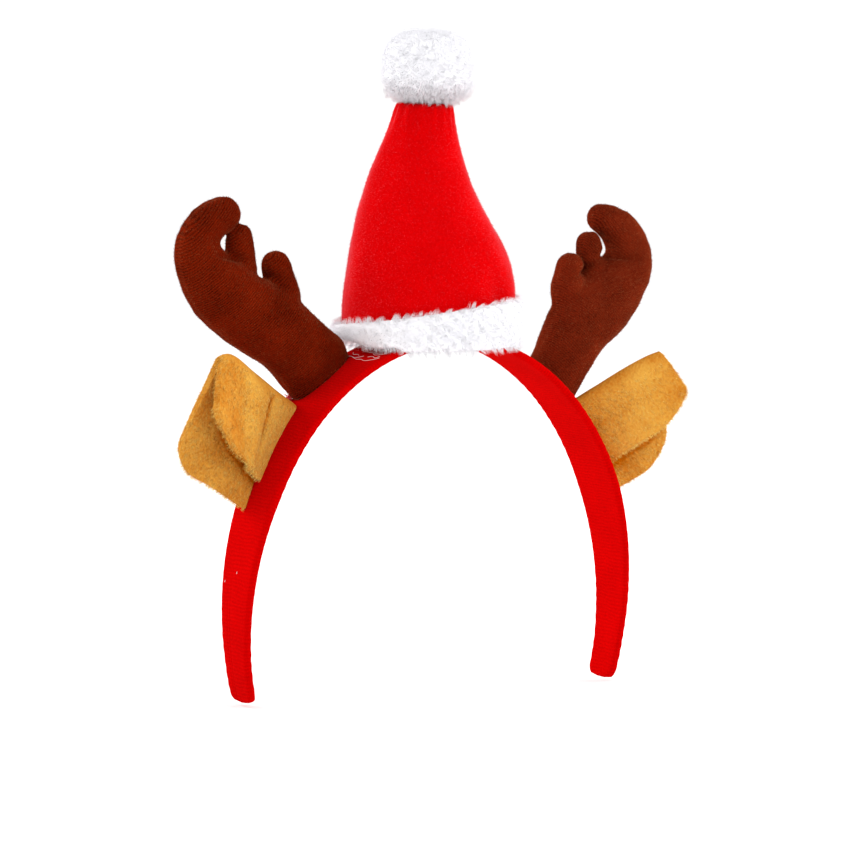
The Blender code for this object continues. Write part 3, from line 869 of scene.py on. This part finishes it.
def make_ear(name, rows, side, relief):
    form = bmesh.new()
    bmesh.ops.create_grid(form, x_segments=EAR_ALONG, y_segments=EAR_ACROSS, size=1.0)
    starts = {}
    shares = []
    for vertex in form.verts:
        across = (vertex.co.y + 1.0) / 2
        key = round(across, 5)
        if key not in starts:
            starts[key] = start_on_band(rows, across)
        share = (vertex.co.x + 1.0) / 2
        along = starts[key] + (rounded_end(across) - starts[key]) * share
        shares.append((share, across))
        vertex.co = ear_point(rows, along, across)
    mesh = to_mesh(form, name)
    shares = np.array(shares)
    points, normals = points_of(mesh), normals_of(mesh)
    shift, nap = relief(shares[:, 0], shares[:, 1], points)
    outward = np.where((shares[:, 1] < 0.5)[:, None], (0.0, -1.0, 0.0), (0.0, 1.0, 0.0))
    facing = np.sign((normals * outward).sum(axis=1))
    fold = np.abs(shares[:, 1] - 0.5) < 0.04
    facing[fold] = np.sign((normals[fold] * (0.0, 0.0, 1.0)).sum(axis=1))
    normals *= facing[:, None]
    points += normals * shift[:, None] * MM
    points[:, 0] *= side
    move_points(mesh, points)
    layer = mesh.attributes.new("nap", "FLOAT", "POINT")
    layer.data.foreach_set("value", nap.astype(np.float32))
    if side < 0:
        mesh.flip_normals()
    mesh = modified(mesh, "SOLIDIFY", thickness=EAR_THICKNESS, offset=0.0)
    mesh = modified(mesh, "BEVEL", width=EAR_BEVEL, segments=3, limit_method="ANGLE",
                    angle_limit=math.radians(50.0))
    return mesh


def left_relief(along, across, points):
    """How far the left ear's cloth stands out, in mm, and how light its nap is, painted shade
    included.
    """
    front = 1.0 - blend_between(0.40, 0.47, across)
    # A slanting crease parts a light strip from the cloth beside the band
    crease_at = 0.165 + 0.13 * across
    crease = bump_at(along - crease_at, 0.03)
    strip = blend_between(0.0, 0.05, along - crease_at)
    strip = strip * (1.0 - blend_between(0.44, 0.54, along - 0.15 * across))
    edge = blend_between(0.86, 1.0, along)
    shift = front * (-1.5 * crease + 1.5 * bump_at(along - crease_at - 0.16, 0.13) - 1.0 * edge)
    shift = shift + 0.4 * wander(points, 70.0, 11)
    beside_band = 1.0 - blend_between(-0.06, 0.0, along - crease_at)
    nap = front * (0.20 * strip + 0.46 * beside_band)
    # Painted shade: the nap is darkened along the crease
    nap = nap - front * 0.45 * bump_at(along - crease_at + 0.01, 0.018)
    # Painted shadow: a dark line on the back flap, under the front flap's edge, stands in for the
    # shadow that edge casts
    flap_edge_shadow = across - (0.876 - 0.10 * along - 0.16 * along ** 2)
    near_band = 1.0 - blend_between(0.45, 0.75, along)
    nap = nap - (0.80 * bump_at(flap_edge_shadow, 0.018) + 0.16 * bump_at(flap_edge_shadow, 0.05)) * near_band
    # Painted light: the whole back flap is made lighter, to lift the shade the front flap casts on
    # it
    nap = nap + 0.10 * (1.0 - front)
    return shift, nap + 0.12 * wander(points, 120.0, 12) + 0.06 * wander(points, 300.0, 16)


def right_relief(along, across, points):
    """The same for the right ear, whose front flap bulges."""
    front = 1.0 - blend_between(0.40, 0.47, across)
    bulge = bump_at(along - 0.55, 0.3)
    shift = front * 1.0 * bulge + 0.5 * wander(points, 70.0, 13)
    nap = front * (0.16 * bulge - 0.20 * bump_at(along, 0.15) + 0.05)
    # Painted shadow: a dark line on the back flap under the front flap's edge
    flap_edge_shadow = across - (0.912 - 0.12 * along + 0.12 * along ** 2)
    nap = nap - 0.50 * bump_at(flap_edge_shadow, 0.012)
    return shift, nap + 0.16 * wander(points, 110.0, 14) + 0.08 * wander(points, 300.0, 15)


# The area of each ear's cloth, one side, is printed in square mm
ears = {}
for node, rows, side, relief in (("ear_left", EAR_LEFT, -1.0, left_relief),
                                 ("ear_right", EAR_RIGHT, 1.0, right_relief)):
    mesh = make_ear(node + "_plush", rows, side, relief)
    ears[node] = new_piece(node + "_plush", mesh, tan_plush, node)
    area = sum(face.area for face in mesh.polygons)
    print(f"{node}: {len(mesh.polygons)} faces, {area / 2 * 1e6:.0f} square mm a side")
    short_nap(ears[node], 30000, length_mm=2.0, width_mm=0.11, comb=(1.6 * side, -0.2, -1.4),
              material=tan_nap, slot=node, draw=draw, stray=0.4, locks=2600, gather=0.35,
              mottle=0.26)

# %% [markdown]
# ## The fur
#
# The brim and the pom-pom have a woven skin under the hairs, which keeps the red from showing
# through. The skin lies just inside the solid, whose locks are smoothed away, and the hairs stand
# on it. They are longer and gather more at the lower and upper edges, where the photo shows locks.

# %% Make the fur
def fur_skin(node, voxel_mm, smoothing, sink_mm):
    mesh = even_copy(node, voxel_mm, smoothing)
    move_points(mesh, points_of(mesh) - normals_of(mesh) * sink_mm * MM)
    return mesh


BRIM_AXIS = np.array((-0.5, 7.2, 5.0)) * MM
BRIM_ROOTS = 46000
BRIM_HAIRS = 26000
FUR_LOCKS = 900
FUR_HAIR_WIDTH = 0.10
FUR_STRAY = 0.15
mesh = fur_skin("hat_brim", voxel_mm=0.9, smoothing=30, sink_mm=0.4)
brim_skin = new_piece("brim_skin", mesh, white_fur, "hat_brim")
roots, outward, _ = spread_roots(brim_skin.data, BRIM_ROOTS, draw)
flat = (roots - BRIM_AXIS) * (1.0, 1.0, 0.0)
flat /= np.linalg.norm(flat, axis=1)[:, None]
# No hair grows on the inner side, where the hat is
faces_out = (outward * flat).sum(axis=1) > -0.35
roots, outward = roots[faces_out][:BRIM_HAIRS], outward[faces_out][:BRIM_HAIRS]
# Hairs on the lower and the upper edge, which are longer and lean down and to the side
low = blend_between(0.25, 0.7, -outward[:, 2])
high = blend_between(0.25, 0.7, outward[:, 2])
lengths = draw.uniform(0.9, 1.9, len(roots)) * (1.0 + 0.8 * low + 0.8 * high) * MM
comb = np.array((0.25, -0.1, -0.1)) + 0.14 * draw.normal(size=(len(roots), 3))
comb += low[:, None] * (0.0, -0.1, -0.5) + high[:, None] * (0.3, 0.0, 0.2)
brim_fur = grow("brim_fur", roots, outward, lengths, FUR_HAIR_WIDTH, comb, draw, bends=0,
                locks=FUR_LOCKS, gather=0.05 + 0.55 * np.maximum(low, high), stray=FUR_STRAY)
new_piece("brim_fur", brim_fur, white_fur)

# 2 is an ellipsoid, more is nearer to a box
POM_BOXINESS = 2.7
POM_HAIRS = 26000
mesh = fur_skin("pompom", voxel_mm=1.0, smoothing=20, sink_mm=0.6)
low_corner, high_corner = (np.array(corner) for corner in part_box("pompom"))
centre, half = (low_corner + high_corner) / 2, (high_corner - low_corner) / 2
share = (points_of(mesh) - centre) / half
level = np.hypot(share[:, 0], share[:, 1])
total = np.hypot(level, share[:, 2])
boxy = (level / total) ** POM_BOXINESS + np.abs(share[:, 2] / total) ** POM_BOXINESS
move_points(mesh, centre + share * half * (boxy ** (-1.0 / POM_BOXINESS))[:, None])
pom_skin = new_piece("pompom_skin", mesh, white_fur, "pompom")
roots, outward, _ = spread_roots(pom_skin.data, POM_HAIRS, draw)
low = blend_between(0.1, 0.7, -outward[:, 2])
lengths = draw.uniform(1.0, 2.2, len(roots)) * (1.0 + 1.0 * low) * MM
comb = 0.16 * draw.normal(size=(len(roots), 3)) - low[:, None] * (0.0, 0.0, 0.5)
pom_fur = grow("pompom_fur", roots, outward, lengths, FUR_HAIR_WIDTH, comb, draw, bends=0,
               locks=FUR_LOCKS, gather=0.05 + 0.55 * low, stray=FUR_STRAY)
new_piece("pompom_fur", pom_fur, white_fur)

# %% [markdown]
# ## Loose threads
#
# Where the hat is sewn to the band, a few ends of white thread have stayed on the red cloth. They
# are thin curves that lie on the band's outer face, given by their place along the arch in degrees
# and their place across it in millimetres. A small tuft of red pile shows at an antler's foot.

# %% Make the threads
THREADS = (
    ((-23.9, 4.3), (-24.9, 0.7), (-24.4, -2.7), (-25.0, -5.0), (-24.3, -8.6), (-23.0, -11.5)),
    ((-21.2, -9.8), (-20.6, -7.8), (-21.4, -4.8), (-20.5, -3.0), (-21.3, 0.4), (-20.6, 5.4)),
    ((-19.7, 3.9), (-21.3, 0.0), (-20.9, -3.2), (-22.3, -6.2), (-20.4, -12.2), (-18.6, -10.3)),
    ((-22.6, 12.4), (-24.4, 9.3), (-23.6, 6.0), (-24.5, 1.8), (-23.0, -1.2)),
    ((-23.2, -4.2), (-22.4, -6.8), (-23.6, -8.9), (-22.3, -10.4)),
    ((-22.0, 7.9), (-23.2, 6.2), (-22.4, 3.6), (-23.1, 1.9)),
    ((-82.8, 7.2), (-83.1, 6.7), (-83.2, 7.5)),
    ((-80.6, -0.3), (-80.9, 0.2), (-81.0, -0.4)),
)
THREAD_RADIUS = 0.08 * MM
THREAD_LIFT = BAND_THICKNESS / 2 + 0.25 * MM


def make_threads():
    curve = bpy.data.curves.new("threads", "CURVE")
    curve.dimensions = "3D"
    curve.bevel_depth = THREAD_RADIUS
    curve.bevel_resolution = 2
    curve.use_fill_caps = True
    for path in THREADS:
        angles, across = np.radians([p[0] for p in path]), np.array([p[1] for p in path]) * MM
        spline = curve.splines.new("NURBS")
        spline.points.add(len(path) - 1)
        spline.order_u = 3
        spline.use_endpoint_u = True
        for point, place in zip(spline.points, on_band(angles, across, THREAD_LIFT)):
            point.co = (*place, 1.0)
    holder = bpy.data.objects.new("threads", curve)
    bpy.context.scene.collection.objects.link(holder)
    shown = holder.evaluated_get(bpy.context.evaluated_depsgraph_get())
    mesh = bpy.data.meshes.new_from_object(shown)
    bpy.data.objects.remove(holder)
    return mesh


white_thread = pile_cloth("white thread", (0.75, 0.48, 0.48), (0.92, 0.80, 0.80),
                          grain_mm=0.8, bump_mm=0.05, sheen=0.1, tint=(1.0, 1.0, 1.0))
new_piece("sewing_threads", make_threads(), white_thread)

TUFT_PLACE = (-40.9, 12.6)
TUFT_HAIRS = 220
base = on_band(np.radians([TUFT_PLACE[0]]), np.array([TUFT_PLACE[1]]) * MM, BAND_THICKNESS / 2)[0]
roots = base + draw.normal(0.0, 0.9, (TUFT_HAIRS, 3)) * MM * (1.0, 0.6, 1.0)
outward = np.tile(np.array((-0.6, -0.4, 0.7)), (TUFT_HAIRS, 1))
tuft = grow("band_tuft", roots, outward, draw.uniform(1.2, 2.4, TUFT_HAIRS) * MM,
            width_mm=0.32, comb=np.zeros(3), draw=draw, stray=0.6,
            nap=np.full(TUFT_HAIRS, 0.25))
new_piece("band_tuft", tuft, red_nap)

# %% [markdown]
# ## Floor and light
#
# The picture is bright all over, with hardly a shadow, as in a white studio. So the world itself
# is white. A large soft lamp in front gives the forms a little shape, and two behind light the pile
# along the outlines.

# %% Floor and light
FLOOR_GAP = 1.5 * MM
FLOOR_HALF = 8.0
WORLD_STRENGTH = 1.08
LAMP_SIZE = 0.8
form = bmesh.new()
bmesh.ops.create_grid(form, x_segments=1, y_segments=1, size=FLOOR_HALF)
bmesh.ops.translate(form, vec=(0.0, 0.0, cad_low.z - FLOOR_GAP), verts=form.verts)
floor = bpy.data.objects.new("floor", to_mesh(form, "floor"))
bpy.context.scene.collection.objects.link(floor)
paper = bpy.data.materials.new("white paper")
paper.use_nodes = True
paper_shader = paper.node_tree.nodes["Principled BSDF"]
paper_shader.inputs["Base Color"].default_value = (0.95, 0.95, 0.95, 1.0)
paper_shader.inputs["Roughness"].default_value = 0.9
floor.data.materials.append(paper)

world = bpy.data.worlds.new("white studio")
world.use_nodes = True
sky = world.node_tree.nodes["Background"]
sky.inputs["Color"].default_value = (1.0, 1.0, 1.0, 1.0)
sky.inputs["Strength"].default_value = WORLD_STRENGTH
bpy.context.scene.world = world


def soft_lamp(name, place, power):
    """A square lamp at a place in metres, turned to the object, power in watts."""
    lamp = bpy.data.lights.new(name, "AREA")
    lamp.energy = power
    lamp.size = LAMP_SIZE
    holder = bpy.data.objects.new(name, lamp)
    holder.location = place
    holder.rotation_mode = "QUATERNION"
    holder.rotation_quaternion = (-Vector(place)).to_track_quat("-Z", "Y")
    bpy.context.scene.collection.objects.link(holder)


soft_lamp("key", (-0.1, -1.3, 1.1), power=4.0)
soft_lamp("rim left", (-0.68, 1.16, 0.5), power=13.0)
soft_lamp("rim right", (1.33, -0.15, 0.5), power=13.0)
bpy.context.scene.view_settings.view_transform = "Standard"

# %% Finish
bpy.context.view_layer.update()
